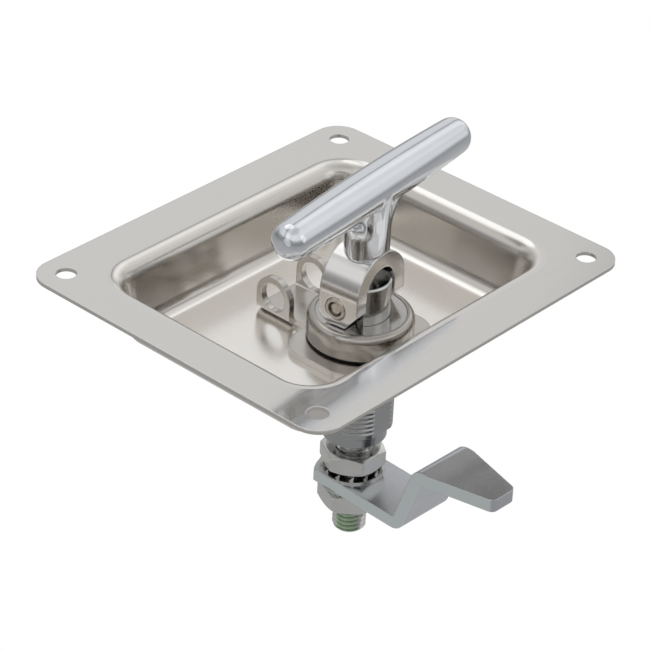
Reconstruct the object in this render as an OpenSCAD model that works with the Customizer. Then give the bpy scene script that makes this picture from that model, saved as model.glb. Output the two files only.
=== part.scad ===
// Folding T-handle lock in a recessed stainless pan, for doors of truck boxes and cabinets.
// Origin at the middle of the pan's four screw holes, on the underside of the flange,
// which is the face that lies on the door. +Z points out of the door, +Y runs along the
// pan's long side, +X towards the side where the cam reaches behind the frame.

/* [Pan] */
// Length of the pan's flange, along Y
plate_len = 130; // [124:1:150]
// Width of the pan's flange, along X
plate_wid = 112; // [106:1:130]
// Thickness of the pan's sheet
sheet_t = 1.2; // [0.8:0.1:1.6]
// Radius of the flange's outside corners
plate_corner_r = 8; // [4:0.5:10]
// Length of the pan's mouth, between the lines where the flange starts to bend
mouth_len = 108; // [104:1:112]
// Width of the pan's mouth, between the lines where the flange starts to bend
mouth_wid = 86; // [84:1:90]
// Radius of the mouth's corners, seen from the front
mouth_corner_r = 14; // [12.5:0.5:17]
// Depth of the recess, from the flange's face to the floor's face
pan_depth = 19.5; // [17:0.5:21]
// Slope of the pan's walls, from upright
wall_draft = 9; // [3:1:14]
// Radius of the bend from flange to wall, on its shown face
mouth_bend_r = 5.5; // [3:0.5:6]
// Radius of the bend from wall to floor, on its shown face
floor_bend_r = 4.5; // [3:0.5:5]
// Diameter of the screw holes
screw_hole_d = 6; // [4:0.5:7]
// Distance of the screw holes from the flange's edges
screw_inset = 8.25; // [7:0.25:9]

/* [Lock] */
// Distance of the lock's axis from the pan's middle, towards the cam's side
lock_x = 12.7; // [10:0.1:14]
// Angle that the handle is turned, from the pan's long side, as it is shown
shown_turn = 6; // [0:1:8]
// Diameter of the barrel's round head
head_d = 30.8; // [29:0.2:33]
// Thickness of the barrel's head
head_h = 7.5; // [6.5:0.1:8.5]
// Radius of the head's upper edge
head_edge_r = 2.2; // [1:0.1:2.3]
// Depth of the seat that is turned into the head for the wear washer
head_seat_depth = 1.2; // [1.1:0.1:1.6]
// Outside diameter of the barrel's thread
barrel_d = 22; // [21:0.1:23]
// Distance across the barrel's four flats
barrel_flats = 20.4; // [19.8:0.1:20.6]
// Pitch of the barrel's thread
barrel_pitch = 1.5; // [1.5:0.5:2]
// Depth of the barrel's thread
thread_depth = 0.5; // [0.3:0.05:0.6]
// Length of the barrel under its head
barrel_len = 33.6; // [30:0.2:36]
// Length of the plain turned end of the barrel
barrel_end_len = 3.9; // [3:0.1:6]
// Diameter of the plain turned end of the barrel
barrel_end_d = 19; // [18:0.1:19.6]
// Plain length between the head and the first thread
thread_start = 3; // [2:0.1:6]

/* [Gasket and barrel nut] */
// Thickness of the rubber gasket under the head
gasket_t = 0.8; // [0.5:0.1:1.2]
// Diameter of the rubber gasket
gasket_d = 29.2; // [27:0.2:30.6]
// Thickness of the washer under the barrel's nut
barrel_washer_t = 1.5; // [1:0.1:2.5]
// Diameter of the washer under the barrel's nut
barrel_washer_d = 34; // [31:0.5:38]
// Width across the flats of the barrel's nut
barrel_nut_af = 30; // [27:0.5:32]
// Height of the barrel's nut
barrel_nut_h = 6; // [4:0.5:9]

/* [Staple] */
// Thickness of the padlock staple
staple_t = 2; // [1.5:0.1:2.5]
// Clear gap between the staple's two ears
ear_gap = 14.7; // [14.2:0.1:17]
// Width of each ear
ear_w = 12.8; // [12:0.1:15]
// Diameter of the padlock hole in each ear
ear_hole_d = 9; // [7:0.1:9.4]
// Height of the padlock hole's centre above the pan's floor
ear_hole_h = 6.9; // [6.6:0.1:7.6]
// Distance of the padlock holes from the lock's axis
ear_reach = 25.2; // [24.4:0.1:26]
// Inside radius of the ears' bends
ear_bend_r = 0.8; // [0.4:0.1:1.2]
// Width of the staple's pad under the head, along Y
pad_w = 39.6; // [34:0.2:44]
// Reach of the staple's pad from the lock's axis, to both sides along X
pad_reach = 13.4; // [12.4:0.1:15]
// Radius of the pad's corners
pad_corner_r = 7.5; // [4:0.5:10]

/* [Spindle] */
// Diameter of the spindle's lug
lug_d = 16.4; // [16:0.1:16.8]
// Distance across the lug's two flats
lug_flats = 12.6; // [11.6:0.1:12.6]
// Height of the lug's top above the pin
lug_top_h = 6; // [5:0.1:6]
// Depth of the counterbore in the barrel, in which the lug slides
lug_bore_depth = 16; // [14:0.5:20]
// Diameter of the spindle's shaft inside the barrel
shaft_d = 12; // [11:0.1:13]
// Diameter of the spindle's threaded end
stud_d = 10; // [9.6:0.1:10.4]
// Length of the threaded end below the lower nut
stud_tail = 9.5; // [6:0.5:14]
// Thickness of the O-rings' cord
o_ring_t = 1.5; // [1.2:0.1:1.6]
// Thickness of the wear washer under the handle's foot
wear_t = 1; // [0.8:0.1:1.2]

/* [Handle] */
// Height of the pin above the handle's foot
foot_h = 5.2; // [5.2:0.1:5.4]
// Gap between the foot and the wear washer while the handle stands up
foot_gap = 0.3; // [0.3:0.05:0.4]
// Distance of the pin from the side of the fork that lies down when the handle folds
foot_side = 5.6; // [5.4:0.1:5.6]
// Radius of the foot's cam corner, on the side to which the handle folds
foot_cam_r = 4; // [3.9:0.1:4.4]
// Width of the bevel on the foot's other corner
foot_heel_w = 3.8; // [3:0.1:4.4]
// Height of the bevel on the foot's other corner
foot_heel_h = 4.8; // [4:0.1:5.2]
// Distance of the pin from the fork's back
fork_back = 7.3; // [7:0.1:7.6]
// Width of the fork over both legs
fork_w = 22.6; // [22.2:0.1:23]
// Width of the window between the fork's legs
fork_window = 13.2; // [13.2:0.1:13.8]
// Height of the arch's centre above the pin
fork_arch_h = 4.3; // [4.1:0.1:5]
// Distance of the pin from the lock's axis, to the side to which the handle folds
pin_offset = 1.1; // [0.8:0.1:1.4]
// Diameter of the fork's pin
pin_d = 5; // [4:0.1:5.4]
// Diameter of the pin's heads
pin_head_d = 6.8; // [6.2:0.1:7.2]
// Diameter of the shank
shank_d = 13; // [12:0.1:13.2]
// Distance of the shank's centre from the pin, away from the side to which it folds
shank_offset = 1.7; // [1.1:0.1:2]
// Height of the bar's centre above the pin
bar_h = 34; // [33.4:0.1:35]
// Length of the bar
bar_len = 85; // [75:1:86]
// Distance of the bar's middle from the shank, along the bar
bar_shift = 2; // [0:0.1:2.5]
// Diameter of the bar at its middle
bar_d = 12.6; // [11:0.1:12.8]
// Diameter of the bar near its ends
bar_end_d = 10.8; // [10:0.1:11.8]
// Radius of the edge of the bar's ends
bar_edge_r = 4.5; // [2:0.1:4.8]
// Height of the flare between shank and bar
flare_h = 7; // [5:0.5:10]
// Reach of the flare along the bar, to both sides of the shank's centre
flare_reach = 22; // [16:0.5:26]

/* [Cam and nuts] */
// Width across the flats of the cam's nuts
nut_af = 17; // [16:0.1:18]
// Height of the cam's nuts
nut_h = 6; // [5:0.1:8]
// Gap between the barrel's end and the upper nut, which the folding handle takes up
lift_gap = 4.8; // [3.6:0.1:6]
// Diameter of the tooth washers
tooth_washer_d = 19.4; // [18:0.1:20]
// Thickness of the tooth washers' ring
tooth_ring_t = 0.6; // [0.4:0.1:1]
// Height of the tooth washers over their teeth
tooth_washer_h = 1.8; // [1.2:0.1:2.2]
// Number of teeth on a tooth washer
tooth_count = 13; // [8:1:18]
// Angle at which the cam is clamped, from the pan's short side, as it is shown
cam_turn = -2; // [-6:1:6]
// Thickness of the cam
cam_t = 4; // [3:0.1:5]
// Width of the cam
cam_w = 18.8; // [17:0.2:24]
// Distance of the cam's inner bend from the lock's axis
cam_bend_x = 25.3; // [22:0.1:30]
// Rise of the cam's tip above its pad
cam_rise = 20.3; // [14:0.1:22]
// Slope of the cam's web, from level
cam_slope = 72; // [60:1:80]
// Inside radius of the cam's bends
cam_bend_r = 1.2; // [0.8:0.1:3]
// Reach of the cam's tip from the lock's axis
cam_reach = 57.4; // [50:0.2:70]
// Reach of the cam's back end behind the lock's axis
cam_back = 9.5; // [9:0.1:10.5]
// Radius of the cam's back end, seen from above
cam_back_r = 16; // [12:0.5:20]
// Width of the cam at its tip
cam_tip_w = 9; // [6:0.2:14]

/* [Fits] */
// Clearance round a turning or sliding shaft
run_fit = 0.05; // [0.03:0.01:0.09]
// Clearance round a piece that is fixed in its place
seat_fit = 0.05; // [0.03:0.01:0.09]
// Clearance between the barrel's flats and the holes that they stand in
flat_fit = 0.15; // [0.05:0.05:0.3]

/* [Hidden] */
$fn = 72;

// Longer than any piece, for cuts that go right through
far = 200;

// Levels, from the flange down and from the head up
flange_z = sheet_t;
floor_z = flange_z - pan_depth;
floor_back_z = floor_z - sheet_t;
staple_z = floor_z + staple_t;
head_under_z = staple_z + gasket_t;
head_top_z = head_under_z + head_h;
wear_seat_z = head_top_z - head_seat_depth;
wear_top_z = wear_seat_z + wear_t;
foot_z = wear_top_z + foot_gap;
pin_z = foot_z + foot_h;
barrel_end_z = head_under_z - barrel_len;
thread_end_z = barrel_end_z + barrel_end_len;
washer_under_z = floor_back_z - barrel_washer_t;
barrel_nut_z = washer_under_z - barrel_nut_h;
upper_nut_z = barrel_end_z - lift_gap - nut_h;
cam_top_z = upper_nut_z - tooth_washer_h;
cam_under_z = cam_top_z - cam_t;
lower_nut_top_z = cam_under_z - tooth_washer_h;
lower_nut_z = lower_nut_top_z - nut_h;
stud_end_z = lower_nut_z - stud_tail;

// The pan's mouth and floor, as the middles and radii of their round corners
mouth_cx = mouth_wid / 2 - mouth_corner_r;
mouth_cy = mouth_len / 2 - mouth_corner_r;
wall_run = mouth_bend_r * (1 - sin(wall_draft));
floor_in = (sin(wall_draft) * (pan_depth - floor_bend_r) + wall_run + floor_bend_r)
    / cos(wall_draft);
floor_corner_r = mouth_corner_r - floor_in;

// The head's seat takes the wear washer and keeps a rim of this width round it
seat_rim = 0.1;
wear_gap = 0.1;
wear_d = head_d - 2 * (head_edge_r + seat_rim + wear_gap);

// The lug slides in the counterbore and its flats reach below the washer's seat, which
// leaves a full round guide with the O-ring's groove under them
flats_below_seat = 3.6;
lug_floor_gap = 1;
stud_start = 1.5;
groove_play = 0.2;
lug_bore_z = head_top_z - lug_bore_depth;
lug_under_z = lug_bore_z + lug_floor_gap;
lug_flats_z = wear_seat_z - flats_below_seat;
stud_top_z = barrel_end_z + stud_start;
stud_chamfer = 1;
groove_w = o_ring_t + 2 * groove_play;
upper_ring_z = (lug_flats_z + lug_under_z) / 2;
lower_ring_z = (lug_bore_z + stud_top_z) / 2;

// The crown of the fork over the lug, and the shank on it
arch_r = fork_window / 2;
window_gap = 0.3;
crown_r = fork_w / 2;
crown_gap = 0.03;
tenon_d = 8;
tenon_gap = 0.2;
tenon_bottom = fork_arch_h + arch_r + tenon_gap;
flare_z = bar_h - bar_d / 2 - flare_h;
flare_top = bar_h - bar_d / 4;
flare_inset = 0.05;

// The rivet's rolled heads are sunk in the fork's legs
pin_head_sink = 0.8;
pin_head_h = 1;
rivet_rim = 0.5;
rivet_dish = 0.7;
rivet_lip = 0.35;

// The cam's bends, its hole, and the place where its tip starts to taper
cam_bend_out = cam_bend_r + cam_t;
cam_hole_d = stud_d + 0.4;
cam_tip_round = 2;
cam_taper_run = 12;

// Chamfer at the mouths of the nuts' bores
nut_mouth = 0.5;

// Tooth washers: play round the stud, and the margins inside and outside the teeth
tooth_play = 0.3;
tooth_margin_in = 0.6;
tooth_margin_out = 0.9;

module at_lock() {
    translate([lock_x, 0, 0]) children();
}

module turned() {
    at_lock() rotate(shown_turn) children();
}

module at_pin() {
    turned() translate([-pin_offset, 0, pin_z]) children();
}

module ring(outer_d, inner_d, height) {
    difference() {
        cylinder(d = outer_d, h = height);
        translate([0, 0, -height]) cylinder(d = inner_d, h = 3 * height);
    }
}

module rounded_rect(size_x, size_y, r) {
    for (x = [-1, 1], y = [-1, 1])
        translate([x * (size_x / 2 - r), y * (size_y / 2 - r)]) circle(r);
    square([size_x - 2 * r, size_y], center = true);
    square([size_x, size_y - 2 * r], center = true);
}

// Round with four flats, as the barrel is and the holes that keep it from turning
module flatted_round(d, flats) {
    intersection() {
        circle(d = d);
        square(flats, center = true);
    }
}

module barrel_hole() {
    at_lock() translate([0, 0, -far / 2]) linear_extrude(far)
        flatted_round(barrel_d + 2 * flat_fit, barrel_flats + 2 * flat_fit);
}

// The sheet's section through a wall of the pan: u outward from the mouth line, v up
module wall_section() {
    roll_end = [-mouth_bend_r * cos(wall_draft), -mouth_bend_r * (1 - sin(wall_draft))];
    bend_top = [floor_bend_r * cos(wall_draft) - floor_in,
        floor_bend_r * (1 - sin(wall_draft)) - pan_depth];
    through = sheet_t * [cos(wall_draft), -sin(wall_draft)];
    fan = 3 * (mouth_bend_r + floor_bend_r);
    translate([0, -mouth_bend_r]) intersection() {
        difference() {
            circle(mouth_bend_r);
            circle(mouth_bend_r - sheet_t);
        }
        polygon([[0, 0], [0, fan], [-fan * cos(wall_draft), fan],
            [-fan * cos(wall_draft), fan * sin(wall_draft)]]);
    }
    polygon([roll_end, bend_top, bend_top + through, roll_end + through]);
    translate([-floor_in, floor_bend_r - pan_depth]) intersection() {
        difference() {
            circle(floor_bend_r + sheet_t);
            circle(floor_bend_r);
        }
        polygon([[0, 0], [0, -fan], [fan * cos(wall_draft), -fan],
            [fan * cos(wall_draft), -fan * sin(wall_draft)]]);
    }
}

// A rounded rectangle that lies inside the mouth by a distance
module mouth_outline(inside) {
    r = mouth_corner_r - inside;
    for (x = [-1, 1], y = [-1, 1]) translate([x * mouth_cx, y * mouth_cy]) circle(r);
    square([2 * mouth_cx, 2 * (mouth_cy + r)], center = true);
    square([2 * (mouth_cx + r), 2 * mouth_cy], center = true);
}

module pan_walls() {
    for (x = [0, 1], y = [0, 1]) mirror([x, 0, 0]) mirror([0, y, 0])
        translate([mouth_cx, mouth_cy, 0]) rotate_extrude(angle = 90)
            translate([mouth_corner_r, 0]) wall_section();
    for (x = [0, 1]) mirror([x, 0, 0]) translate([mouth_wid / 2, mouth_cy, 0])
        rotate([90, 0, 0]) linear_extrude(2 * mouth_cy) wall_section();
    for (y = [0, 1]) mirror([0, y, 0]) translate([-mouth_cx, mouth_len / 2, 0])
        rotate([90, 0, 90]) linear_extrude(2 * mouth_cx) wall_section();
}

// Deep-drawn pan: flange, rolled mouth, sloping walls and floor in one sheet
module pan() {
    color([0.72, 0.70, 0.67]) difference() {
        union() {
            translate([0, 0, flange_z]) pan_walls();
            linear_extrude(sheet_t) difference() {
                rounded_rect(plate_wid, plate_len, plate_corner_r);
                mouth_outline(0);
            }
            translate([0, 0, floor_back_z]) linear_extrude(sheet_t) mouth_outline(floor_in);
        }
        for (x = [-1, 1], y = [-1, 1])
            translate([x * (plate_wid / 2 - screw_inset), y * (plate_len / 2 - screw_inset), -1])
                cylinder(d = screw_hole_d, h = sheet_t + 2);
        barrel_hole();
    }
}

// Section of the staple across its two ears
module staple_section() {
    outer_r = ear_bend_r + staple_t;
    half = ear_gap / 2 + staple_t;
    ear_h = ear_hole_h + ear_w / 2;
    difference() {
        union() {
            translate([-half, outer_r]) square([2 * half, ear_h - outer_r]);
            translate([outer_r - half, 0]) square([2 * (half - outer_r), ear_h]);
            for (s = [-1, 1]) translate([s * (half - outer_r), outer_r]) circle(outer_r);
        }
        translate([-ear_gap / 2, staple_t + ear_bend_r]) square([ear_gap, ear_h]);
        translate([ear_bend_r - ear_gap / 2, staple_t])
            square([ear_gap - 2 * ear_bend_r, ear_h]);
        for (s = [-1, 1]) translate([s * (ear_gap / 2 - ear_bend_r), staple_t + ear_bend_r])
            circle(ear_bend_r);
    }
}

// Bent plate: two padlock ears, between which the folded shank lies, and a pad that the
// barrel's head clamps to the pan's floor
module padlock_staple() {
    ear_x = lock_x - ear_reach;
    color([0.66, 0.64, 0.60]) translate([0, 0, floor_z]) difference() {
        union() {
            intersection() {
                translate([ear_x - ear_w / 2, 0, 0]) rotate([90, 0, 90])
                    linear_extrude(ear_w) staple_section();
                union() {
                    translate([ear_x, 0, ear_hole_h]) rotate([90, 0, 0])
                        cylinder(d = ear_w, h = far, center = true);
                    translate([ear_x - ear_w / 2, -far / 2, -1])
                        cube([ear_w, far, ear_hole_h + 1]);
                }
            }
            linear_extrude(staple_t) {
                translate([lock_x, 0]) rounded_rect(2 * pad_reach, pad_w, pad_corner_r);
                translate([ear_x + ear_w / 2 - 1, -ear_gap / 2])
                    square([ear_reach - ear_w / 2 + 1, ear_gap]);
            }
        }
        translate([ear_x, 0, ear_hole_h]) rotate([90, 0, 0])
            cylinder(d = ear_hole_d, h = far, center = true);
        barrel_hole();
    }
}

module head_gasket() {
    color([0.08, 0.08, 0.08]) at_lock() translate([0, 0, staple_z])
        ring(gasket_d, barrel_d + 2 * flat_fit, gasket_t);
}

// Half outline of the barrel's threaded body, turned about its axis
module thread_outline(r, depth, pitch, top_z, end_z) {
    turns = floor((top_z - end_z) / pitch);
    polygon(concat([[0, top_z]], [for (i = [0:turns - 1]) each [
        [r, top_z - i * pitch], [r, top_z - (i + 0.15) * pitch],
        [r - depth, top_z - (i + 0.5) * pitch], [r, top_z - (i + 0.85) * pitch]]],
        [[r, end_z], [0, end_z]]));
}

// Barrel: a round head with a seat for the wear washer, over a threaded body that has
// four flats, so that the thread is left only at its corners
module barrel() {
    head_r = head_d / 2;
    neck_z = head_under_z - thread_start;
    end_chamfer = 0.4;
    step = (barrel_flats - barrel_end_d) / 2 + end_chamfer;
    color([0.74, 0.73, 0.71]) at_lock() difference() {
        union() {
            translate([0, 0, head_under_z]) rotate_extrude() {
                square([head_r - head_edge_r, head_h]);
                square([head_r, head_h - head_edge_r]);
                translate([head_r - head_edge_r, head_h - head_edge_r]) circle(head_edge_r);
            }
            intersection() {
                rotate_extrude() {
                    thread_outline(barrel_d / 2, thread_depth, barrel_pitch, neck_z,
                        thread_end_z);
                    translate([0, neck_z]) square([barrel_d / 2, thread_start + 1]);
                }
                cube([barrel_flats, barrel_flats, far], center = true);
            }
            translate([0, 0, barrel_end_z]) cylinder(d = barrel_end_d, h = barrel_end_len + 1);
            translate([0, 0, thread_end_z - step])
                cylinder(d1 = barrel_end_d - 0.1, d2 = barrel_flats - 0.1, h = step + 0.05);
        }
        translate([0, 0, wear_seat_z]) cylinder(d = wear_d + 2 * wear_gap, h = far);
        translate([0, 0, lug_bore_z]) cylinder(d = lug_d + 2 * run_fit, h = far);
        translate([0, 0, -far]) cylinder(d = shaft_d + 2 * run_fit, h = 2 * far);
    }
}

module barrel_washer() {
    color([0.78, 0.78, 0.76]) at_lock() translate([0, 0, washer_under_z])
        ring(barrel_washer_d, barrel_d + 2 * flat_fit, barrel_washer_t);
}

// Hexagon nut with both faces chamfered round
module hex_nut(af, bore_d, height) {
    corner_d = af / cos(30);
    face_r = 0.95 * af / 2;
    chamfer = height / 8;
    slant = chamfer * tan(30);
    difference() {
        intersection() {
            rotate(30) cylinder(d = corner_d, h = height, $fn = 6);
            rotate_extrude() polygon([[0, 0], [face_r, 0], [face_r + 3 * chamfer, 3 * slant],
                [face_r + 3 * chamfer, height - 3 * slant], [face_r, height], [0, height]]);
        }
        translate([0, 0, -height]) cylinder(d = bore_d, h = 3 * height);
        for (end = [0, 1]) translate([0, 0, end * height]) mirror([0, 0, end])
            translate([0, 0, -0.01])
                cylinder(d1 = bore_d + 2 * nut_mouth, d2 = bore_d - 0.1, h = nut_mouth + 0.05);
    }
}

module barrel_nut() {
    color([0.78, 0.78, 0.76]) at_lock() translate([0, 0, barrel_nut_z])
        hex_nut(barrel_nut_af, barrel_d + 2 * seat_fit, barrel_nut_h);
}

// Washer that the handle's foot rubs on: it is keyed to the lug's flats and turns in
// the seat of the barrel's head
module wear_washer() {
    color([0.80, 0.80, 0.79]) turned() translate([0, 0, wear_seat_z]) linear_extrude(wear_t)
        difference() {
            circle(d = wear_d);
            intersection() {
                circle(d = lug_d + 2 * wear_gap);
                square([far, lug_flats + 2 * wear_gap], center = true);
            }
        }
}

// Cut for an O-ring: a square groove round a shaft
module ring_groove(shaft, mid_z) {
    translate([0, 0, mid_z - groove_w / 2]) ring(shaft + 2, shaft - 2 * o_ring_t, groove_w);
}

// Space under the fork's window as it swings about the pin
module window_sweep() {
    rotate([90, 0, 0]) rotate_extrude() intersection() {
        translate([fork_arch_h - window_gap, 0]) circle(arch_r);
        translate([0, -arch_r]) square([far, 2 * arch_r]);
    }
}

// Spindle: a lug with two flats, the shaft with its O-ring grooves, and the threaded end
module spindle() {
    lug_top_z = pin_z + lug_top_h;
    color([0.70, 0.70, 0.69]) turned() difference() {
        union() {
            difference() {
                translate([0, 0, lug_under_z]) cylinder(d = lug_d, h = lug_top_z - lug_under_z);
                for (s = [0, 1]) mirror([0, s, 0]) translate([-far / 2, lug_flats / 2, lug_flats_z])
                    cube(far);
                difference() {
                    translate([-far - pin_offset, -far / 2, pin_z]) cube(far);
                    translate([-pin_offset, 0, pin_z]) window_sweep();
                }
            }
            translate([0, 0, stud_top_z])
                cylinder(d = shaft_d, h = lug_under_z - stud_top_z + 0.5);
            translate([0, 0, stud_end_z + stud_chamfer])
                cylinder(d = stud_d, h = stud_top_z - stud_end_z);
            translate([0, 0, stud_end_z])
                cylinder(d1 = stud_d - 2 * stud_chamfer, d2 = stud_d, h = stud_chamfer);
        }
        ring_groove(lug_d, upper_ring_z);
        ring_groove(shaft_d, lower_ring_z);
        translate([-pin_offset, 0, pin_z]) rotate([90, 0, 0])
            cylinder(d = pin_d + 2 * run_fit, h = far, center = true);
    }
}

module o_ring(bore, mid_z) {
    cord = o_ring_t - groove_play / 2;
    color([0.07, 0.07, 0.07]) turned() translate([0, 0, mid_z]) rotate_extrude()
        translate([bore / 2 - 0.03 - cord / 2, 0]) circle(d = cord);
}

module upper_o_ring() {
    o_ring(lug_d, upper_ring_z);
}

module lower_o_ring() {
    o_ring(shaft_d, lower_ring_z);
}

// Sections of the flare between shank and bar, from the shank up, as ellipses
flare_steps = 7;
flare_sides = 32;
function flare_y(t) =
    shank_d / 2 - flare_inset + (flare_reach - shank_d / 2) * (1 - sqrt(1 - t * t));
function flare_x(t) = shank_d / 2 - flare_inset - ((shank_d - bar_d) / 2 + 0.3) * t;
flare_points = [for (i = [0:flare_steps]) let (t = sin(90 * i / flare_steps))
    for (k = [0:flare_sides - 1]) let (a = 360 * k / flare_sides)
        [flare_x(t) * cos(a), flare_y(t) * sin(a), flare_z + (flare_top - flare_z) * t]];
flare_faces = concat(
    [[for (k = [0:flare_sides - 1]) k]],
    [for (i = [0:flare_steps - 1], k = [0:flare_sides - 1])
        let (next = (k + 1) % flare_sides, low = i * flare_sides, up = low + flare_sides)
        [low + k, up + k, up + next, low + next]],
    [[for (k = [flare_sides - 1:-1:0]) flare_steps * flare_sides + k]]);

// Half outline of the bar: it swells towards the middle and has round edges at its ends
bar_steps = 6;
bar_sag = (bar_d - bar_end_d) / 2;
function bar_r(y) = bar_d / 2 - bar_sag * pow(2 * y / bar_len, 2);
module bar_outline() {
    half = bar_len / 2;
    edge_y = half - bar_edge_r;
    edge_x = bar_r(edge_y) - bar_edge_r;
    polygon(concat([[0, -half], [edge_x, -half], [edge_x, -edge_y]],
        [for (i = [-bar_steps:bar_steps]) let (y = edge_y * i / bar_steps) [bar_r(y), y]],
        [[edge_x, edge_y], [edge_x, half], [0, half]]));
    intersection() {
        for (s = [-1, 1]) translate([edge_x, s * edge_y]) circle(bar_edge_r);
        translate([0, -half]) square([bar_d, 2 * half]);
    }
}

// T-handle: bar and shank are one casting, with a tenon that is fixed in the fork
module t_handle() {
    color([0.80, 0.81, 0.83]) at_pin() translate([shank_offset, 0, 0]) {
        translate([0, bar_shift, bar_h]) rotate([90, 0, 0]) rotate_extrude() bar_outline();
        difference() {
            translate([0, 0, fork_arch_h]) cylinder(d = shank_d, h = bar_h - fork_arch_h);
            translate([0, 0, fork_arch_h]) rotate([0, 90, 0])
                cylinder(r = crown_r + crown_gap, h = far, center = true);
        }
        translate([0, 0, tenon_bottom]) cylinder(d = tenon_d, h = bar_h - tenon_bottom);
        polyhedron(flare_points, flare_faces);
    }
}

// Side outline of the fork, along the pin: the foot's cam corner is on the -X side
module fork_side() {
    difference() {
        translate([-foot_side, -foot_h])
            square([foot_side + fork_back, foot_h + fork_arch_h + crown_r]);
        translate([-foot_side - 1, -foot_h - 1]) square(foot_cam_r + 1);
        polygon([[fork_back - foot_heel_w - foot_heel_w, -foot_h - foot_heel_h],
            [fork_back + foot_heel_w, foot_heel_h - foot_h + foot_heel_h],
            [fork_back + foot_heel_w, -foot_h - foot_heel_h]]);
    }
    translate([foot_cam_r - foot_side, foot_cam_r - foot_h]) circle(foot_cam_r);
}

// Front outline of the fork, across the pin: a round crown and a window between two legs
module fork_front() {
    difference() {
        union() {
            translate([0, fork_arch_h]) circle(crown_r);
            translate([-crown_r, fork_arch_h - far]) square([fork_w, far]);
        }
        translate([0, fork_arch_h]) circle(arch_r);
        translate([-arch_r, fork_arch_h - far]) square([2 * arch_r, far]);
    }
}

// Fork that straddles the lug: its foot is the cam that draws the spindle up as the
// handle folds
module fork() {
    color([0.76, 0.75, 0.73]) at_pin() difference() {
        intersection() {
            rotate([90, 0, 0]) linear_extrude(fork_w, center = true) fork_side();
            rotate([90, 0, 90]) linear_extrude(far, center = true) fork_front();
        }
        translate([shank_offset, 0, 0]) cylinder(d = tenon_d + 2 * seat_fit, h = far);
        rotate([90, 0, 0]) cylinder(d = pin_d + 2 * seat_fit, h = far, center = true);
        for (s = [-1, 1]) translate([0, s * (fork_w / 2 - pin_head_sink), 0])
            rotate([-90 * s, 0, 0]) cylinder(d = pin_head_d + 0.2, h = far);
    }
}

// Pivot pin of the fork: its heads are sunk in the legs, dished and rolled over
module fork_pin() {
    half = fork_w / 2 - pin_head_sink + pin_head_h;
    color([0.72, 0.69, 0.62]) at_pin() rotate([90, 0, 0]) difference() {
        union() {
            cylinder(d = pin_d, h = 2 * half, center = true);
            for (s = [0, 1]) mirror([0, 0, s]) translate([0, 0, half - pin_head_h]) {
                cylinder(d = pin_head_d, h = pin_head_h - rivet_lip);
                translate([0, 0, pin_head_h - rivet_lip])
                    cylinder(d1 = pin_head_d, d2 = pin_head_d - 2 * rivet_lip, h = rivet_lip);
            }
        }
        for (s = [0, 1]) mirror([0, 0, s]) translate([0, 0, half - rivet_dish])
            cylinder(d1 = pin_d - 4 * rivet_rim, d2 = pin_d - rivet_rim, h = rivet_dish + 0.01);
    }
}

module upper_nut() {
    color([0.80, 0.79, 0.75]) turned() translate([0, 0, upper_nut_z])
        rotate(-shown_turn) hex_nut(nut_af, stud_d + 2 * seat_fit, nut_h);
}

module lower_nut() {
    color([0.80, 0.79, 0.75]) turned() translate([0, 0, lower_nut_z])
        rotate(-shown_turn + 8) hex_nut(nut_af, stud_d + 2 * seat_fit, nut_h);
}

// Lock washer: a flat ring with teeth that stand up towards the nut
module tooth_washer() {
    inner_d = stud_d + 2 * tooth_play;
    tooth_in = inner_d / 2 + tooth_margin_in;
    tooth_out = tooth_washer_d / 2 - tooth_margin_out;
    ring(tooth_washer_d, inner_d, tooth_ring_t);
    for (i = [0:tooth_count - 1]) rotate(360 * i / tooth_count)
        rotate([90, 0, 90]) translate([0, 0, tooth_in]) linear_extrude(tooth_out - tooth_in)
            polygon([[-0.9, tooth_ring_t - 0.1], [0.5, tooth_ring_t - 0.1],
                [0.7, tooth_washer_h], [0.3, tooth_washer_h]]);
}

module upper_tooth_washer() {
    color([0.78, 0.77, 0.74]) turned() translate([0, 0, cam_top_z]) tooth_washer();
}

module lower_tooth_washer() {
    color([0.78, 0.77, 0.74]) turned() translate([0, 0, cam_under_z]) mirror([0, 0, 1])
        tooth_washer();
}

// Points on a bend of the cam, from one direction to another
bend_steps = 10;
function bend(middle, r, from, to) =
    [for (i = [0:bend_steps]) let (a = from + (to - from) * i / bend_steps)
        middle + r * [sin(a), -cos(a)]];

// Side outline of the cam: pad, web and tip of one bent strip, x from the lock's axis
module cam_side() {
    turn = tan(cam_slope / 2);
    high_x = cam_bend_x + cam_rise / tan(cam_slope) + cam_t * turn;
    low = [cam_bend_x - cam_bend_r * turn, cam_bend_r];
    high = [high_x + cam_bend_r * turn, cam_rise - cam_t - cam_bend_r];
    polygon(concat([[-cam_w, -cam_t]], bend(low, cam_bend_out, 0, cam_slope),
        bend(high, cam_bend_r, cam_slope + 180, 180),
        [[cam_reach, cam_rise - cam_t], [cam_reach, cam_rise]],
        bend(high, cam_bend_out, 180, cam_slope + 180),
        bend(low, cam_bend_r, cam_slope, 0), [[-cam_w, 0]]));
}

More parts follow.
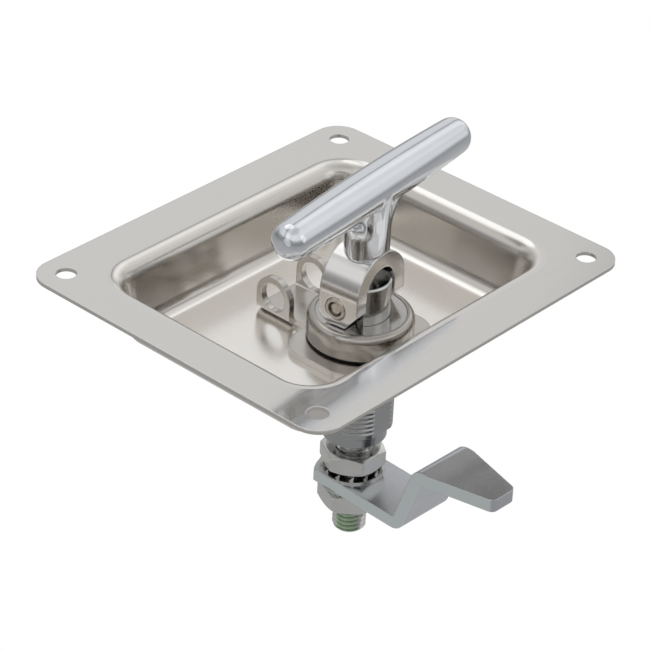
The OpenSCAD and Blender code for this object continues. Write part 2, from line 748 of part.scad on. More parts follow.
// Plan of the cam: a round end behind the axis and a tip that tapers to round corners
module cam_plan() {
    taper_x = cam_bend_x + cam_taper_run;
    half_w = cam_w / 2;
    half_tip = cam_tip_w / 2;
    slant = atan((half_w - half_tip) / (cam_reach - taper_x));
    corner = [cam_reach - cam_tip_round,
        cam_tip_round * (1 - sin(slant)) / cos(slant) - half_tip];
    arc = [for (a = [0:(90 - slant) / 6:90 - slant])
        corner + cam_tip_round * [sin(slant + a), -cos(slant + a)]];
    intersection() {
        union() {
            translate([cam_back_r - cam_back, 0]) circle(cam_back_r);
            translate([cam_back_r - cam_back, -half_w]) square([cam_reach, cam_w]);
        }
        square([2 * cam_reach, cam_w], center = true);
        polygon(concat([[-cam_w, -cam_w], [taper_x, -cam_w], [taper_x, -half_w]], arc,
            [for (i = [len(arc) - 1:-1:0]) [arc[i][0], -arc[i][1]]],
            [[taper_x, half_w], [taper_x, cam_w], [-cam_w, cam_w]]));
    }
}

// Cam that reaches behind the door's frame, clamped between the two nuts
module cam() {
    color([0.62, 0.65, 0.68]) at_lock() rotate(cam_turn) translate([0, 0, cam_top_z])
        difference() {
            intersection() {
                rotate([90, 0, 0]) linear_extrude(2 * cam_w, center = true) cam_side();
                translate([0, 0, -far / 2]) linear_extrude(far) cam_plan();
            }
            translate([0, 0, -2 * cam_t]) cylinder(d = cam_hole_d, h = 3 * cam_t);
        }
}

pan();
padlock_staple();
head_gasket();
barrel();
barrel_washer();
barrel_nut();
wear_washer();
spindle();
upper_o_ring();
lower_o_ring();
t_handle();
fork();
fork_pin();
upper_nut();
upper_tooth_washer();
cam();
lower_tooth_washer();
lower_nut();
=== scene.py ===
import math

import bmesh
import bpy
from mathutils import Matrix, Vector


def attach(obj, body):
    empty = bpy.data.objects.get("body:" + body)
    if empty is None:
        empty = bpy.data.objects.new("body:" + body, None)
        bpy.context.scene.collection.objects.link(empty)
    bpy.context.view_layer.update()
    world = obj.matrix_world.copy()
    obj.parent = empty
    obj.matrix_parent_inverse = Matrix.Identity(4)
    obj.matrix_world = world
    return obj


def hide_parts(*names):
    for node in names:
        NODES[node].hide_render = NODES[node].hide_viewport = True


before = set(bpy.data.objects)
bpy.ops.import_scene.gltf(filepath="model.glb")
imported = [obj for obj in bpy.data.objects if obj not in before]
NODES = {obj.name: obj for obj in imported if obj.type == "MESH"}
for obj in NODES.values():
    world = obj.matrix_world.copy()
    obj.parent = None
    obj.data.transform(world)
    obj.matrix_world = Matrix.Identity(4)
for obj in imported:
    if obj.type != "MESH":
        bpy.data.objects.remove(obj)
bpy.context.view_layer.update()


# Sizes of the lock, in metres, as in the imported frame

LOCK_X = 0.0127
TURN = math.radians(6.0)
PIN_Z = -0.0027
PIN_OFFSET = 0.0011
CROWN_R = 0.0113
ARCH_H = 0.0043
SHANK_R = 0.0065
SHANK_OFFSET = 0.0017
BAR_H = 0.034
BAR_HALF = 0.0425
BAR_SHIFT = 0.002
BAR_R = 0.0063
BAR_END_R = 0.0054
BAR_EDGE_R = 0.0045
FLARE_REACH = 0.022
FLARE_H = 0.007
LUG_R = 0.0082
LUG_HALF_FLATS = 0.0063
LUG_TOP = 0.0033
LUG_UNDER = -0.0230
FLATS_Z = -0.0128
WINDOW_R = 0.0066
WINDOW_MID = 0.0040
SHAFT_R = 0.006
STUD_R = 0.005
STUD_TOP = -0.0476
STUD_END = -0.0830
PIN_BORE_R = 0.00255
THREAD_PITCH = 0.0015
THREAD_DEPTH = 0.00085
SHANK_FOOT = 0.006
# Further than any cut has to go
CUT_REACH = 0.03

AT_LOCK = Matrix.Translation((LOCK_X, 0, 0)) @ Matrix.Rotation(TURN, 4, "Z")
AT_PIN = AT_LOCK @ Matrix.Translation((-PIN_OFFSET, 0, PIN_Z))


# Materials

def node(tree, kind, **values):
    made = tree.nodes.new(kind)
    for name, value in values.items():
        if hasattr(made, name):
            setattr(made, name, value)
        else:
            made.inputs[name.replace("_", " ")].default_value = value
    return made


def make_group(name, sockets_in, sockets_out):
    group = bpy.data.node_groups.new(name, "ShaderNodeTree")
    for label, kind, value in sockets_in:
        made = group.interface.new_socket(name=label, in_out="INPUT", socket_type=kind)
        made.default_value = value
    for label, kind in sockets_out:
        group.interface.new_socket(name=label, in_out="OUTPUT", socket_type=kind)
    return group, group.nodes.new("NodeGroupInput"), group.nodes.new("NodeGroupOutput")


def grain_group():
    """Fine grain stretched along one axis, and soft clouds, both about 0.5 in the middle."""
    group, start, end = make_group(
        "MetalGrain",
        [("Stretch", "NodeSocketVector", (3000.0, 3000.0, 3000.0)),
         ("Cloud Scale", "NodeSocketFloat", 60.0)],
        [("Grain", "NodeSocketFloat"), ("Cloud", "NodeSocketFloat")])
    place = node(group, "ShaderNodeTexCoord")
    scaled = node(group, "ShaderNodeVectorMath", operation="MULTIPLY")
    fine = node(group, "ShaderNodeTexNoise", Scale=1.0, Detail=3.0, Roughness=0.6)
    cloud = node(group, "ShaderNodeTexNoise", Detail=4.0, Roughness=0.55)
    link = group.links.new
    link(place.outputs["Object"], scaled.inputs[0])
    link(start.outputs["Stretch"], scaled.inputs[1])
    link(scaled.outputs["Vector"], fine.inputs["Vector"])
    link(place.outputs["Object"], cloud.inputs["Vector"])
    link(start.outputs["Cloud Scale"], cloud.inputs["Scale"])
    link(fine.outputs["Fac"], end.inputs["Grain"])
    link(cloud.outputs["Fac"], end.inputs["Cloud"])
    return group


def facing_group():
    """A soft mask of the faces that look along an axis, either way."""
    group, start, end = make_group("FacingMask", [("Axis", "NodeSocketVector", (0.0, 1.0, 0.0))],
                                   [("Mask", "NodeSocketFloat")])
    surface = node(group, "ShaderNodeNewGeometry")
    along = node(group, "ShaderNodeVectorMath", operation="DOT_PRODUCT")
    size = node(group, "ShaderNodeMath", operation="ABSOLUTE")
    soft = node(group, "ShaderNodeMapRange", From_Min=0.75, From_Max=0.95, To_Min=0.0, To_Max=1.0)
    link = group.links.new
    link(surface.outputs["Normal"], along.inputs[0])
    link(start.outputs["Axis"], along.inputs[1])
    link(along.outputs["Value"], size.inputs[0])
    link(size.outputs["Value"], soft.inputs["Value"])
    link(soft.outputs["Result"], end.inputs["Mask"])
    return group


def patch_group():
    """A dab of paint with a ragged edge: a mask round a point, of a given reach."""
    group, start, end = make_group("PaintPatch", [("Centre", "NodeSocketVector", (0.0, 0.0, 0.0)),
                                                  ("Reach", "NodeSocketFloat", 0.005)],
                                   [("Mask", "NodeSocketFloat")])
    place = node(group, "ShaderNodeTexCoord")
    apart = node(group, "ShaderNodeVectorMath", operation="DISTANCE")
    share = node(group, "ShaderNodeMath", operation="DIVIDE")
    ragged = node(group, "ShaderNodeTexNoise", Scale=420.0, Detail=3.0)
    push = node(group, "ShaderNodeMath", operation="MULTIPLY_ADD")
    push.inputs[1].default_value = 0.5
    soft = node(group, "ShaderNodeMapRange", From_Min=1.35, From_Max=1.05, To_Min=0.0, To_Max=0.85)
    link = group.links.new
    link(place.outputs["Object"], apart.inputs[0])
    link(start.outputs["Centre"], apart.inputs[1])
    link(apart.outputs["Value"], share.inputs[0])
    link(start.outputs["Reach"], share.inputs[1])
    link(place.outputs["Object"], ragged.inputs["Vector"])
    link(ragged.outputs["Fac"], push.inputs[0])
    link(share.outputs["Value"], push.inputs[2])
    link(push.outputs["Value"], soft.inputs["Value"])
    link(soft.outputs["Result"], end.inputs["Mask"])
    return group


def above_group():
    """A mask of what lies above a level, with a short soft step."""
    group, start, end = make_group("AboveMask", [("Level", "NodeSocketFloat", 0.0)],
                                   [("Mask", "NodeSocketFloat")])
    place = node(group, "ShaderNodeTexCoord")
    split = node(group, "ShaderNodeSeparateXYZ")
    apart = node(group, "ShaderNodeMath", operation="SUBTRACT")
    soft = node(group, "ShaderNodeMapRange", From_Min=-0.0002, From_Max=0.0002, To_Min=0.0, To_Max=1.0)
    link = group.links.new
    link(place.outputs["Object"], split.inputs["Vector"])
    link(split.outputs["Z"], apart.inputs[0])
    link(start.outputs["Level"], apart.inputs[1])
    link(apart.outputs["Value"], soft.inputs["Value"])
    link(soft.outputs["Result"], end.inputs["Mask"])
    return group


def ring_group():
    """A mask of a ring round an axis, between two radii."""
    group, start, end = make_group("RingMask", [("Centre", "NodeSocketVector", (0.0, 0.0, 0.0)),
                                                ("Axis", "NodeSocketVector", (0.0, 1.0, 0.0)),
                                                ("Inner", "NodeSocketFloat", 0.0015),
                                                ("Outer", "NodeSocketFloat", 0.0023)],
                                   [("Mask", "NodeSocketFloat")])
    place = node(group, "ShaderNodeTexCoord")
    apart = node(group, "ShaderNodeVectorMath", operation="SUBTRACT")
    turned = node(group, "ShaderNodeVectorMath", operation="CROSS_PRODUCT")
    size = node(group, "ShaderNodeVectorMath", operation="LENGTH")
    past = node(group, "ShaderNodeMath", operation="GREATER_THAN")
    within = node(group, "ShaderNodeMath", operation="LESS_THAN")
    both = node(group, "ShaderNodeMath", operation="MULTIPLY")
    link = group.links.new
    link(place.outputs["Object"], apart.inputs[0])
    link(start.outputs["Centre"], apart.inputs[1])
    link(apart.outputs["Vector"], turned.inputs[0])
    link(start.outputs["Axis"], turned.inputs[1])
    link(turned.outputs["Vector"], size.inputs[0])
    link(size.outputs["Value"], past.inputs[0])
    link(start.outputs["Inner"], past.inputs[1])
    link(size.outputs["Value"], within.inputs[0])
    link(start.outputs["Outer"], within.inputs[1])
    link(past.outputs["Value"], both.inputs[0])
    link(within.outputs["Value"], both.inputs[1])
    link(both.outputs["Value"], end.inputs["Mask"])
    return group


GRAIN = grain_group()
FACING = facing_group()
PATCH = patch_group()
ABOVE = above_group()
RING = ring_group()


def metal(name, color, dark, rough, stretch, rough_swing=0.08, cloud_scale=60.0,
          edge=0.0, bump=0.00001, grain_tint=0.25, masks=()):
    """A metal whose colour and roughness follow a grain, with edges that shade as if broken.
    Each mask, a group with its settings, lays a colour over it and changes its roughness."""
    mat = bpy.data.materials.new(name)
    mat.use_nodes = True
    tree = mat.node_tree
    link = tree.links.new
    shader = tree.nodes["Principled BSDF"]
    shader.inputs["Metallic"].default_value = 1.0
    grain = node(tree, "ShaderNodeGroup", node_tree=GRAIN)
    grain.inputs["Stretch"].default_value = stretch
    grain.inputs["Cloud Scale"].default_value = cloud_scale
    tint = node(tree, "ShaderNodeMapRange", From_Min=0.3, From_Max=0.7, To_Min=0.0, To_Max=grain_tint)
    cloud = node(tree, "ShaderNodeMapRange", From_Min=0.35, From_Max=0.7, To_Min=0.0, To_Max=0.5)
    both = node(tree, "ShaderNodeMath", operation="ADD", use_clamp=True)
    mix = node(tree, "ShaderNodeMix", data_type="RGBA")
    mix.inputs[6].default_value = (*color, 1.0)
    mix.inputs[7].default_value = (*dark, 1.0)
    rough_map = node(tree, "ShaderNodeMapRange", From_Min=0.25, From_Max=0.75,
                     To_Min=rough - rough_swing, To_Max=rough + rough_swing)
    link(grain.outputs["Grain"], tint.inputs["Value"])
    link(grain.outputs["Cloud"], cloud.inputs["Value"])
    link(tint.outputs["Result"], both.inputs[0])
    link(cloud.outputs["Result"], both.inputs[1])
    link(both.outputs["Value"], mix.inputs["Factor"])
    shown = mix.outputs[2]
    rough_shown = rough_map.outputs["Result"]
    for group, settings, mask_color, mask_rough in masks:
        over = node(tree, "ShaderNodeGroup", node_tree=group)
        for label, value in settings.items():
            over.inputs[label].default_value = value
        painted = node(tree, "ShaderNodeMix", data_type="RGBA")
        painted.inputs[7].default_value = (*mask_color, 1.0)
        link(shown, painted.inputs[6])
        link(over.outputs["Mask"], painted.inputs["Factor"])
        shown = painted.outputs[2]
        smoother = node(tree, "ShaderNodeMath", operation="MULTIPLY_ADD")
        smoother.inputs[1].default_value = mask_rough
        link(over.outputs["Mask"], smoother.inputs[0])
        link(rough_shown, smoother.inputs[2])
        rough_shown = smoother.outputs["Value"]
    link(shown, shader.inputs["Base Color"])
    link(grain.outputs["Grain"], rough_map.inputs["Value"])
    link(rough_shown, shader.inputs["Roughness"])
    relief = node(tree, "ShaderNodeBump", Strength=0.6, Distance=bump)
    link(grain.outputs["Grain"], relief.inputs["Height"])
    if edge > 0.0:
        bevel = node(tree, "ShaderNodeBevel", samples=6, Radius=edge)
        link(bevel.outputs["Normal"], relief.inputs["Normal"])
    link(relief.outputs["Normal"], shader.inputs["Normal"])
    return mat


def rubber(name, color):
    mat = bpy.data.materials.new(name)
    mat.use_nodes = True
    tree = mat.node_tree
    shader = tree.nodes["Principled BSDF"]
    shader.inputs["Roughness"].default_value = 0.55
    grain = node(tree, "ShaderNodeGroup", node_tree=GRAIN)
    shade = node(tree, "ShaderNodeMix", data_type="RGBA")
    shade.inputs[6].default_value = (*color, 1.0)
    shade.inputs[7].default_value = (color[0] * 2, color[1] * 2, color[2] * 2, 1.0)
    tree.links.new(grain.outputs["Cloud"], shade.inputs["Factor"])
    tree.links.new(shade.outputs[2], shader.inputs["Base Color"])
    return mat


# How finely a grain repeats along X, Y and Z, per metre
FINE = (1500.0, 1500.0, 1500.0)
TURNED = (300.0, 300.0, 4000.0)
ROLLED = (2200.0, 90.0, 2200.0)
ALONG_BAR = (1500.0, 200.0, 1500.0)
# What the masks aim at: the pan's level faces, lighter as painted light; the cam's long cut edges,
# lighter and greener, partly their own tone and partly painted light; a ring of painted shade in the
# pin's dished heads; the flange above the recess, a painted lit grey between walls and floor, and
# smoother; the barrel's head above its thread; and a dab of paint on the stud's end
# The pan's level faces, up or down, are painted lighter than its walls: painted light
LEVEL_FACES_PAINTED_LIGHT = {"Axis": (0.0, 0.0, 1.0)}
# The cam's long cut edges are painted lighter and greener: partly the edges' own tone, partly painted light
CAM_EDGES_TINT_AND_LIGHT = {"Axis": (math.sin(math.radians(2.0)), math.cos(math.radians(2.0)), 0.0)}
# A near-black ring painted in the cone of the pin's dished heads: painted shade
PIN_DISH_PAINTED_SHADE = {"Centre": AT_PIN.translation, "Axis": (-math.sin(TURN), math.cos(TURN), 0.0),
            "Inner": 0.0016, "Outer": 0.0023}
# The flange is painted a lighter grey than the pan's walls, which is painted light, and made smoother
FLANGE_PAINTED_LIGHT = {"Level": 0.0008}
HEAD = {"Level": -0.0165}
PAINT_DAB = {"Centre": (0.0147, -0.0046, -0.0800), "Reach": 0.0042}
MATS = {
    # The pan: its walls in the base colour, its level faces and flange painted lighter, which is painted
    # light
    "pan": metal("PanSteel", (0.66, 0.635, 0.60), (0.56, 0.535, 0.50), 0.20, ROLLED,
                 rough_swing=0.03, cloud_scale=35.0, edge=0.0004, bump=0.000002, grain_tint=0.2,
                 masks=[(FACING, LEVEL_FACES_PAINTED_LIGHT, (0.97, 0.945, 0.91), 0.0),
                        (ABOVE, FLANGE_PAINTED_LIGHT, (0.75, 0.735, 0.715), -0.09)]),
    "padlock_staple": metal("StapleSteel", (0.62, 0.595, 0.56), (0.53, 0.505, 0.47), 0.24, FINE,
                            rough_swing=0.02, edge=0.0003, bump=0.0000005, grain_tint=0.1),
    "head_gasket": rubber("BlackRubber", (0.012, 0.012, 0.012)),
    "barrel": metal("BarrelSteel", (0.43, 0.435, 0.44), (0.355, 0.36, 0.365), 0.20, TURNED,
                    edge=0.0003, bump=0.000002,
                    masks=[(ABOVE, HEAD, (0.44, 0.415, 0.385), -0.03)]),
    "barrel_washer": metal("WasherZinc", (0.60, 0.61, 0.61), (0.50, 0.50, 0.48), 0.26, FINE,
                           edge=0.0002, bump=0.000003),
    "barrel_nut": metal("NutZinc", (0.58, 0.585, 0.56), (0.46, 0.465, 0.43), 0.22, FINE, edge=0.0003,
                        bump=0.000003),
    "wear_washer": metal("WearWasherSteel", (0.55, 0.54, 0.53), (0.40, 0.39, 0.38), 0.16, FINE,
                         edge=0.0002, bump=0.000003),
    "spindle": metal("SpindleSteel", (0.60, 0.60, 0.59), (0.48, 0.48, 0.47), 0.15, TURNED,
                     edge=0.0002, bump=0.000002,
                     masks=[(PATCH, PAINT_DAB, (0.46, 0.60, 0.42), 0.15)]),
    "t_handle": metal("HandleChrome", (0.80, 0.825, 0.86), (0.74, 0.765, 0.81), 0.09,
                      ALONG_BAR, rough_swing=0.02, bump=0.000001),
    "fork": metal("ForkSteel", (0.86, 0.85, 0.835), (0.77, 0.755, 0.735), 0.14, FINE, rough_swing=0.03,
                  edge=0.0007, bump=0.000002, grain_tint=0.15),
    # The rivet's dished heads carry a ring of painted shade
    "fork_pin": metal("RivetSteel", (0.64, 0.60, 0.53), (0.50, 0.46, 0.40), 0.20, FINE, edge=0.0003,
                      bump=0.000002, masks=[(RING, PIN_DISH_PAINTED_SHADE, (0.10, 0.095, 0.085), 0.0)]),
    "upper_nut": metal("NutZincUpper", (0.68, 0.685, 0.665), (0.55, 0.56, 0.535), 0.16, FINE,
                       rough_swing=0.04, edge=0.0004, bump=0.000002),
    # The cam's cut edges are painted lighter and greener, partly their own tone and partly painted light
    "cam": metal("CamZinc", (0.57, 0.585, 0.615), (0.48, 0.495, 0.535), 0.20, FINE, cloud_scale=110.0,
                 rough_swing=0.02, edge=0.0005, bump=0.0000005, grain_tint=0.1,
                 masks=[(FACING, CAM_EDGES_TINT_AND_LIGHT, (0.71, 0.77, 0.77), 0.0)]),
    "upper_tooth_washer": metal("ToothSteel", (0.62, 0.62, 0.60), (0.46, 0.46, 0.44), 0.2, FINE,
                                edge=0.0001, bump=0.000003),
}
SAME = {"upper_o_ring": "head_gasket", "lower_o_ring": "head_gasket", "lower_nut": "upper_nut",
        "lower_tooth_washer": "upper_tooth_washer"}
for name, obj in NODES.items():
    obj.data.materials.clear()
    obj.data.materials.append(MATS[SAME.get(name, name)])


# Mesh helpers

def keep(bm, name):
    bmesh.ops.recalc_face_normals(bm, faces=bm.faces)
    data = bpy.data.meshes.new(name)
    bm.to_mesh(data)
    bm.free()
    obj = bpy.data.objects.new(name, data)
    bpy.context.scene.collection.objects.link(obj)
    return obj


def lathe(bm, profile, place, steps=64):
    """Spins a line of (radius, height) points about the Z axis of a place."""
    verts = [bm.verts.new((r, 0.0, z)) for r, z in profile]
    edges = [bm.edges.new(pair) for pair in zip(verts, verts[1:])]
    bmesh.ops.spin(bm, geom=verts + edges, axis=(0, 0, 1), cent=(0, 0, 0), dvec=(0, 0, 0),
                   angle=math.tau, steps=steps, use_merge=True, use_duplicate=False)
    bmesh.ops.remove_doubles(bm, verts=bm.verts, dist=1e-7)
    bmesh.ops.transform(bm, matrix=place, verts=bm.verts)


def rod(radius, low, high):
    return [(0, low), (radius, low), (radius, high), (0, high)]


def solid_lathe(name, profile, place, steps=64):
    bm = bmesh.new()
    lathe(bm, profile, place, steps)
    return keep(bm, name)


def modify(obj, kind, **values):
    mod = obj.modifiers.new(kind.title(), kind)
    for label, value in values.items():
        setattr(mod, label, value)


def settle(obj, *helpers):
    """Applies the modifiers of an object and removes the helpers that they used."""
    graph = bpy.context.evaluated_depsgraph_get()
    data = bpy.data.meshes.new_from_object(obj.evaluated_get(graph))
    obj.modifiers.clear()
    old = obj.data
    obj.data = data
    bpy.data.meshes.remove(old)
    for helper in helpers:
        bpy.data.objects.remove(helper)
    return obj


def box(name, low, high, place):
    bm = bmesh.new()
    bmesh.ops.create_cube(bm, size=1.0)
    size = [top - bottom for bottom, top in zip(low, high)]
    middle = [(top + bottom) / 2 for bottom, top in zip(low, high)]
    bmesh.ops.scale(bm, vec=size, verts=bm.verts)
    bmesh.ops.translate(bm, vec=middle, verts=bm.verts)
    bmesh.ops.transform(bm, matrix=place, verts=bm.verts)
    return keep(bm, name)


def shade(obj, mat):
    obj.data.materials.clear()
    obj.data.materials.append(mat)
    for face in obj.data.polygons:
        face.use_smooth = True


# T-handle: bar, flare and shank blended into one skin

def bar_profile():
    """The bar from end to end: thickest in the middle, with rounded ends."""
    half = BAR_HALF
    sag = BAR_R - BAR_END_R
    edge_y = half - BAR_EDGE_R

    def radius(y):
        return BAR_R - sag * (y / half) ** 2

    side = [(radius(edge_y * i / 16), edge_y * i / 16) for i in range(-16, 17)]
    edge_x = radius(edge_y) - BAR_EDGE_R
    cap = [(edge_x + BAR_EDGE_R * math.cos(a), edge_y + BAR_EDGE_R * math.sin(a))
           for a in [math.radians(9 * k) for k in range(1, 11)]] + [(0.0, half)]
    return [(r, -z) for r, z in reversed(cap)] + side + cap


def flare(bm, place):
    """Ellipses from the shank's circle out to a long oval inside the bar."""
    steps = 14
    ring = bmesh.ops.create_circle(bm, cap_ends=True, segments=48, radius=SHANK_R - 0.00002)["verts"]
    face = ring[0].link_faces[0]
    shape = (SHANK_R, SHANK_R)
    bottom = BAR_H - BAR_R - FLARE_H
    top = BAR_H - BAR_R * 0.5
    bmesh.ops.translate(bm, vec=(0, 0, bottom), verts=face.verts)
    level = bottom
    for i in range(1, steps + 1):
        t = math.sin(math.pi / 2 * i / steps)
        new_y = SHANK_R + (FLARE_REACH - SHANK_R) * (1 - math.sqrt(1 - t * t))
        new_x = SHANK_R - (SHANK_R - BAR_R + 0.0003) * t
        new_z = bottom + (top - bottom) * t
        face = bmesh.ops.extrude_discrete_faces(bm, faces=[face])["faces"][0]
        bmesh.ops.scale(bm, vec=(new_x / shape[0], new_y / shape[1], 1.0), verts=face.verts)
        bmesh.ops.translate(bm, vec=(0, 0, new_z - level), verts=face.verts)
        shape = (new_x, new_y)
        level = new_z
    bmesh.ops.holes_fill(bm, edges=[edge for edge in bm.edges if edge.is_boundary], sides=0)
    bmesh.ops.transform(bm, matrix=place, verts=bm.verts)


def t_handle():
    place = AT_PIN @ Matrix.Translation((SHANK_OFFSET, 0, 0))
    along = place @ Matrix.Translation((0, BAR_SHIFT, BAR_H)) @ Matrix.Rotation(-math.pi / 2, 4, "X")
    bar = solid_lathe("bar", bar_profile(), along, 96)
    bm = bmesh.new()
    flare(bm, place)
    wing = keep(bm, "flare")
    shank = solid_lathe("shank", rod(SHANK_R, SHANK_FOOT, BAR_H), place, 96)
    arch = AT_PIN @ Matrix.Translation((0, 0, ARCH_H)) @ Matrix.Rotation(math.pi / 2, 4, "Y")
    crown = solid_lathe("crown", rod(CROWN_R, -CUT_REACH, CUT_REACH), arch, 128)
    modify(shank, "BOOLEAN", operation="DIFFERENCE", object=crown, solver="EXACT")
    modify(bar, "BOOLEAN", operation="UNION", object=wing, solver="EXACT")
    modify(bar, "BOOLEAN", operation="UNION", object=shank, solver="EXACT")
    modify(bar, "REMESH", mode="VOXEL", voxel_size=0.0003)
    modify(bar, "SMOOTH", factor=0.5, iterations=12)
    obj = settle(bar, wing, shank, crown)
    obj.name = "handle_skin"
    shade(obj, MATS["t_handle"])
    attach(obj, "handle")
    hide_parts("t_handle")


# Spindle: lug and shaft as turned, and a threaded end with a true helix

def helix(place):
    """A thread: one pitch of its outline, wound up past the stud's top and closed at both ends."""
    bm = bmesh.new()
    low = STUD_END - 2 * THREAD_PITCH
    turns = math.ceil((STUD_TOP - low) / THREAD_PITCH) + 1
    steps = 48
    root = STUD_R - THREAD_DEPTH
    profile = [(root, 0.0), (root, 0.10), (STUD_R, 0.48), (STUD_R, 0.62), (root, 1.0)]
    verts = [bm.verts.new((r, 0.0, low + z * THREAD_PITCH)) for r, z in profile]
    edges = [bm.edges.new(pair) for pair in zip(verts, verts[1:])]
    bmesh.ops.spin(bm, geom=verts + edges, axis=(0, 0, 1), cent=(0, 0, 0),
                   dvec=(0, 0, THREAD_PITCH / steps), angle=math.tau * turns, steps=steps * turns,
                   use_merge=False, use_duplicate=False)
    bmesh.ops.remove_doubles(bm, verts=bm.verts, dist=2e-6)
    bmesh.ops.holes_fill(bm, edges=[edge for edge in bm.edges if edge.is_boundary], sides=0)
    bmesh.ops.transform(bm, matrix=place, verts=bm.verts)
    return keep(bm, "helix")


def threaded_spindle():
    chamfer = 0.0010
    thread = helix(AT_LOCK)
    past = 0.0002
    inside = STUD_TOP + 0.001
    limit = solid_lathe("thread_limit", [
        (0, STUD_END), (STUD_R - chamfer, STUD_END), (STUD_R + past, STUD_END + chamfer + past),
        (STUD_R + past, inside), (0, inside)], AT_LOCK)
    edge = 0.0005
    body = solid_lathe("spindle_skin", [
        (0, STUD_TOP), (SHAFT_R - edge, STUD_TOP), (SHAFT_R, STUD_TOP + edge), (SHAFT_R, LUG_UNDER),
        (LUG_R - edge, LUG_UNDER), (LUG_R, LUG_UNDER + edge), (LUG_R, LUG_TOP - edge),
        (LUG_R - edge, LUG_TOP), (0, LUG_TOP)], AT_LOCK, 96)
    flats = [box("flat", (-CUT_REACH, low, FLATS_Z), (CUT_REACH, low + CUT_REACH, CUT_REACH), AT_LOCK)
             for low in (LUG_HALF_FLATS, -LUG_HALF_FLATS - CUT_REACH)]
    arc = [(WINDOW_MID + WINDOW_R * math.cos(math.radians(a)), WINDOW_R * math.sin(math.radians(a)))
           for a in range(-90, 91, 9)]
    sweep = solid_lathe("window_sweep", [(0, -WINDOW_R)] + arc + [(0, WINDOW_R)],
                        AT_PIN @ Matrix.Rotation(-math.pi / 2, 4, "X"), 96)
    corner = box("corner", (-CUT_REACH, -CUT_REACH, 0.0), (0.0, CUT_REACH, CUT_REACH), AT_PIN)
    bore = solid_lathe("pin_bore", rod(PIN_BORE_R, -CUT_REACH, CUT_REACH),
                       AT_PIN @ Matrix.Rotation(math.pi / 2, 4, "X"), 48)
    modify(thread, "BOOLEAN", operation="INTERSECT", object=limit, solver="EXACT")
    modify(corner, "BOOLEAN", operation="DIFFERENCE", object=sweep, solver="EXACT")
    for cutter in flats + [corner, bore]:
        modify(body, "BOOLEAN", operation="DIFFERENCE", object=cutter, solver="EXACT")
    modify(body, "BOOLEAN", operation="UNION", object=thread, solver="EXACT")
    obj = settle(body, thread, limit, sweep, corner, bore, *flats)
    shade(obj, MATS["spindle"])
    obj.data.set_sharp_from_angle(angle=math.radians(28))
    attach(obj, "shaft")
    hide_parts("spindle")


t_handle()
threaded_spindle()


# Light and background

WHITE = (1.0, 1.0, 1.0, 1.0)
PALE = (0.9, 0.9, 0.9, 1.0)
FLOOR_Z = -3.0
FLOOR_HALF = 30.0
SCRIM_R = 2.8
# How much of the white each part of the scrim lets through. STRIPS goes from one side of the bar
# to the other, BELOW from straight down to the horizon, and RISE from the horizon to straight up.
STRIPS = [(0.0, 0.62), (0.20, 0.80), (0.30, 0.785), (0.335, 0.42), (0.345, 0.42), (0.37, 0.80), (0.44, 1.0),
          (0.50, 1.0), (0.60, 0.80), (0.74, 0.86), (0.80, 0.86), (0.85, 0.82), (1.0, 0.78)]
BELOW = [(0.0, 0.62), (0.30, 0.52), (0.50, 0.44), (0.8, 0.38), (1.0, 0.29)]
RISE = [(0.0, 0.32), (0.10, 0.34), (0.30, 0.52), (0.46, 1.0), (0.75, 1.0), (0.88, 0.75), (1.0, 0.70)]
ACROSS_BAR = (math.cos(TURN), math.sin(TURN), 0.0)
# Two ways in which the scrim is open down to the horizon, and what it lets through there.
BEHIND = (-0.655, 0.756, 0.0)
BESIDE = (0.64, 0.77, 0.0)
OPEN_GREY = (0.95, 0.95, 0.95, 1.0)


def soft_lamp(name, place, aim, size, power):
    data = bpy.data.lights.new(name, "AREA")
    data.shape = "ELLIPSE"
    data.size, data.size_y = size
    data.energy = power
    lamp = bpy.data.objects.new(name, data)
    bpy.context.scene.collection.objects.link(lamp)
    lamp.location = place
    lamp.rotation_euler = (Vector(aim) - Vector(place)).to_track_quat("-Z", "Y").to_euler()


def seen_plainly(tree):
    """1 for what the camera sees straight, in metal or through glass, and 0 for other light."""
    path = node(tree, "ShaderNodeLightPath")
    metal_too = node(tree, "ShaderNodeMath", operation="MAXIMUM")
    glass_too = node(tree, "ShaderNodeMath", operation="MAXIMUM")
    tree.links.new(path.outputs["Is Camera Ray"], metal_too.inputs[0])
    tree.links.new(path.outputs["Is Glossy Ray"], metal_too.inputs[1])
    tree.links.new(metal_too.outputs["Value"], glass_too.inputs[0])
    tree.links.new(path.outputs["Is Transmission Ray"], glass_too.inputs[1])
    return glass_too.outputs["Value"]


def white_world():
    world = bpy.data.worlds.new("White")
    bpy.context.scene.world = world
    world.use_nodes = True
    tree = world.node_tree
    pick = node(tree, "ShaderNodeMix", data_type="RGBA")
    pick.inputs[6].default_value = PALE
    pick.inputs[7].default_value = WHITE
    tree.links.new(seen_plainly(tree), pick.inputs["Factor"])
    tree.links.new(pick.outputs[2], tree.nodes["Background"].inputs["Color"])


def stage_piece(bm, name, material):
    """Something in the studio that isn't part of the lock, with an empty material to fill."""
    obj = keep(bm, name)
    mat = bpy.data.materials.new(material)
    mat.use_nodes = True
    mat.node_tree.nodes.clear()
    obj.data.materials.append(mat)
    return obj, mat.node_tree, node(mat.node_tree, "ShaderNodeOutputMaterial").inputs["Surface"]


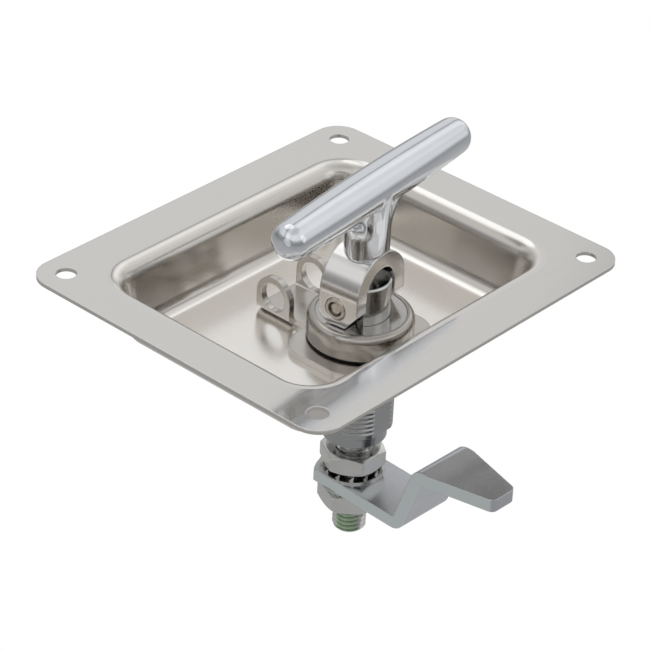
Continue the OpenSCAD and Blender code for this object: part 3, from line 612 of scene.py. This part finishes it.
def pale_floor():
    """A wide white floor far below the lock, which hangs free as in the photo."""
    bm = bmesh.new()
    bmesh.ops.create_grid(bm, x_segments=1, y_segments=1, size=FLOOR_HALF)
    bmesh.ops.translate(bm, vec=(0, 0, FLOOR_Z), verts=bm.verts)
    _, tree, surface = stage_piece(bm, "floor", "PaleFloor")
    plain = node(tree, "ShaderNodeBsdfDiffuse", Color=PALE)
    bright = node(tree, "ShaderNodeEmission", Color=WHITE, Strength=1.0)
    pick = node(tree, "ShaderNodeMixShader")
    tree.links.new(seen_plainly(tree), pick.inputs["Fac"])
    tree.links.new(plain.outputs["BSDF"], pick.inputs[1])
    tree.links.new(bright.outputs["Emission"], pick.inputs[2])
    tree.links.new(pick.outputs["Shader"], surface)


def scrim():
    """A graded scrim round the lock, as in a light tent: the metal sees the white background
    through it, darker low down and in strips along the bar. The camera looks past it."""
    bm = bmesh.new()
    bmesh.ops.create_icosphere(bm, subdivisions=3, radius=SCRIM_R)
    tent, tree, surface = stage_piece(bm, "scrim", "GradedScrim")
    tent.visible_camera = False
    link = tree.links.new
    place = node(tree, "ShaderNodeTexCoord")
    way = node(tree, "ShaderNodeVectorMath", operation="NORMALIZE")
    split = node(tree, "ShaderNodeSeparateXYZ")
    link(place.outputs["Object"], way.inputs[0])
    link(way.outputs["Vector"], split.inputs["Vector"])
    up = split.outputs["Z"]

    def toward(direction):
        made = node(tree, "ShaderNodeVectorMath", operation="DOT_PRODUCT")
        made.inputs[1].default_value = direction
        link(way.outputs["Vector"], made.inputs[0])
        return made.outputs["Value"]

    def share(value, low, high, most=1.0):
        made = node(tree, "ShaderNodeMapRange", From_Min=low, From_Max=high, To_Min=0.0, To_Max=most)
        link(value, made.inputs["Value"])
        return made.outputs["Result"]

    def grades(value, stops):
        made = node(tree, "ShaderNodeValToRGB")
        keys = made.color_ramp.elements
        for key, (spot, grey) in zip(keys, (stops[0], stops[-1])):
            key.position = spot
            key.color = (grey, grey, grey, 1.0)
        for spot, grey in stops[1:-1]:
            keys.new(spot).color = (grey, grey, grey, 1.0)
        link(value, made.inputs["Fac"])
        return made.outputs["Color"]

    def mix(factor, first, second, blend="MIX"):
        made = node(tree, "ShaderNodeMix", data_type="RGBA", blend_type=blend)
        for value, socket in ((factor, "Factor"), (first, 6), (second, 7)):
            if isinstance(value, (float, tuple)):
                made.inputs[socket].default_value = value
            else:
                link(value, made.inputs[socket])
        return made.outputs[2]

    strips = grades(share(toward(ACROSS_BAR), -1.0, 1.0), STRIPS)
    below = grades(share(up, -1.0, 0.0), BELOW)
    rise = grades(up, RISE)
    opened = node(tree, "ShaderNodeMath", operation="MAXIMUM")
    link(share(toward(BEHIND), 0.35, 0.70), opened.inputs[0])
    link(share(toward(BESIDE), 0.80, 0.95, 0.9), opened.inputs[1])
    risen = mix(opened.outputs["Value"], rise, OPEN_GREY)
    above = mix(1.0, strips, risen, "MULTIPLY")
    whole = mix(share(up, -0.10, 0.12), below, above)
    gauze = node(tree, "ShaderNodeBsdfTransparent")
    link(whole, gauze.inputs["Color"])
    link(gauze.outputs["BSDF"], surface)


soft_lamp("key", (-0.35, 0.10, 0.75), (0.0, 0.0, 0.0), (0.6, 0.6), 0.45)
soft_lamp("side", (0.75, 0.35, 0.35), (0.0, 0.0, -0.02), (0.5, 0.6), 0.2)
soft_lamp("front", (0.05, -0.85, 0.05), (0.0, 0.0, -0.03), (0.6, 0.5), 0.2)
white_world()
pale_floor()
scrim()


# Camera, fitted to the flange's outline and holes in the photo

CAMERA_PLACE = (0.44307, -0.51186, 0.41319)
CAMERA_RIGHT = (0.737, 0.675, 0.043)
CAMERA_BACK = (0.552, -0.637, 0.538)
LENS_MM = 155.3
SENSOR_MM = 36.0


def camera():
    scene = bpy.context.scene
    scene.view_settings.view_transform = "Standard"
    data = bpy.data.cameras.new("Camera")
    data.sensor_width = SENSOR_MM
    data.lens = LENS_MM
    data.clip_start = 0.01
    obj = bpy.data.objects.new("Camera", data)
    scene.collection.objects.link(obj)
    right = Vector(CAMERA_RIGHT).normalized()
    back = Vector(CAMERA_BACK)
    back = (back - right * back.dot(right)).normalized()
    turn = Matrix((right, back.cross(right), back)).transposed().to_4x4()
    obj.matrix_world = Matrix.Translation(CAMERA_PLACE) @ turn
    scene.camera = obj


camera()
